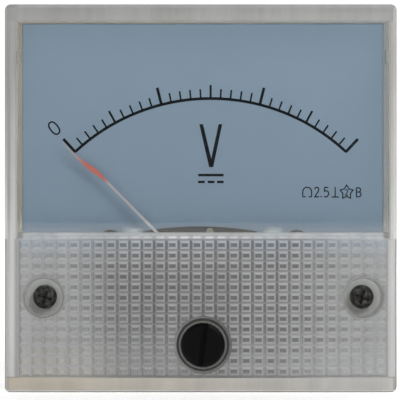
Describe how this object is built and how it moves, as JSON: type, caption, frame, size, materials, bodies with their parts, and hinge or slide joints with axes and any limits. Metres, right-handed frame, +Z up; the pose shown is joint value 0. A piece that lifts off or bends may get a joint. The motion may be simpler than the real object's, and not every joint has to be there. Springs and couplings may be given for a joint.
{
  "type": "analog panel meter",
  "caption": "Square-faced moving-coil panel meter: clear cover with prism band, grey-lit dial scaled in volts DC, red-bladed pointer, round rear barrel.",
  "frame": {"origin": "on the barrel's axis, in the plane of the flange's back face that seats on the panel", "axes": "+Z up the face, face looks towards -Y, +X to the reader's right, +Y back through the panel along the barrel's axis"},
  "size_m": [0.064, 0.058, 0.0634],
  "materials": {
    "case_moulding": "pale moulded plastic, satin",
    "clear_cover": "clear moulded polystyrene, polished",
    "black_steel": "blackened steel, dull",
    "dial_enamel": "matt white enamel with black print",
    "frame_moulding": "black moulded plastic, matt",
    "plated_steel": "zinc-plated steel",
    "soft_iron": "machined soft iron",
    "magnet_alloy": "ground cast magnet alloy",
    "brass_parts": "turned and stamped brass",
    "nickel_plate": "nickel-plated brass, satin",
    "black_knob": "black moulded plastic, glossy",
    "pointer_paint": "thin painted aluminium, orange-red blade",
    "aluminium_sheet": "bent thin sheet",
    "coil_wire": "enamelled copper wire, varnished",
    "pivot_steel": "hardened and polished steel",
    "spring_bronze": "rolled bronze strip",
    "tinned_metal": "tin-plated, slightly dull",
    "resistor_body": "lacquered film resistor with tinned leads",
    "wire_cover": "flexible plastic sleeve, red"
  },
  "bodies": {
    "case": {"rear_base": "case_moulding", "front_cover": "clear_cover", "cover_screws": "black_steel", "dial_plate": "dial_enamel", "dial_screws": "black_steel", "movement_frame": "frame_moulding", "movement_screws": "plated_steel", "pole_pieces": "soft_iron", "magnet": "magnet_alloy", "iron_core": "soft_iron", "core_bracket": "brass_parts", "pole_screws": "plated_steel", "front_bridge": "nickel_plate", "front_bridge_screws": "plated_steel", "rear_bridge": "brass_parts", "rear_bridge_screws": "plated_steel", "jewel_screws": "brass_parts", "jewel_nuts": "brass_parts", "spring_tag": "brass_parts", "terminal_studs": "brass_parts", "terminal_washers": "tinned_metal", "terminal_nuts": "brass_parts", "solder_lugs": "tinned_metal", "series_resistor": "resistor_body", "lead_wires": "wire_cover", "mounting_studs": "brass_parts", "mounting_washers": "tinned_metal", "mounting_nuts": "brass_parts"},
    "pointer_unit": {"pointer": "pointer_paint", "balance_weights": "brass_parts", "coil_former": "aluminium_sheet", "moving_coil": "coil_wire", "pivots": "pivot_steel", "front_hairspring": "spring_bronze", "rear_hairspring": "spring_bronze"},
    "adjuster": {"zero_adjuster": "black_knob"},
    "corrector": {"zero_corrector": "brass_parts"}
  },
  "joints": [
    {"name": "pointer_swing", "type": "hinge", "parent": "case", "child": "pointer_unit", "pos_m": [0.0015, 0, -0.01095], "axis": [0, 1, 0], "range_deg": [-2.6, 93.2], "stiffness_Nm_per_rad": 0.000015, "deforming": ["front_hairspring", "rear_hairspring"]},
    {"name": "zero_adjust", "type": "hinge", "parent": "case", "child": "adjuster", "pos_m": [0.00035, 0, -0.0204], "axis": [0, 1, 0], "range_deg": [-30, 30]},
    {"name": "corrector_swing", "type": "hinge", "parent": "case", "child": "corrector", "pos_m": [0.0015, 0, -0.01095], "axis": [0, 1, 0], "range_deg": [-4.6, 4.6]}
  ],
  "couplings": [
    {"joint": "corrector_swing", "follows": "zero_adjust", "ratio": -0.152}
  ]
}
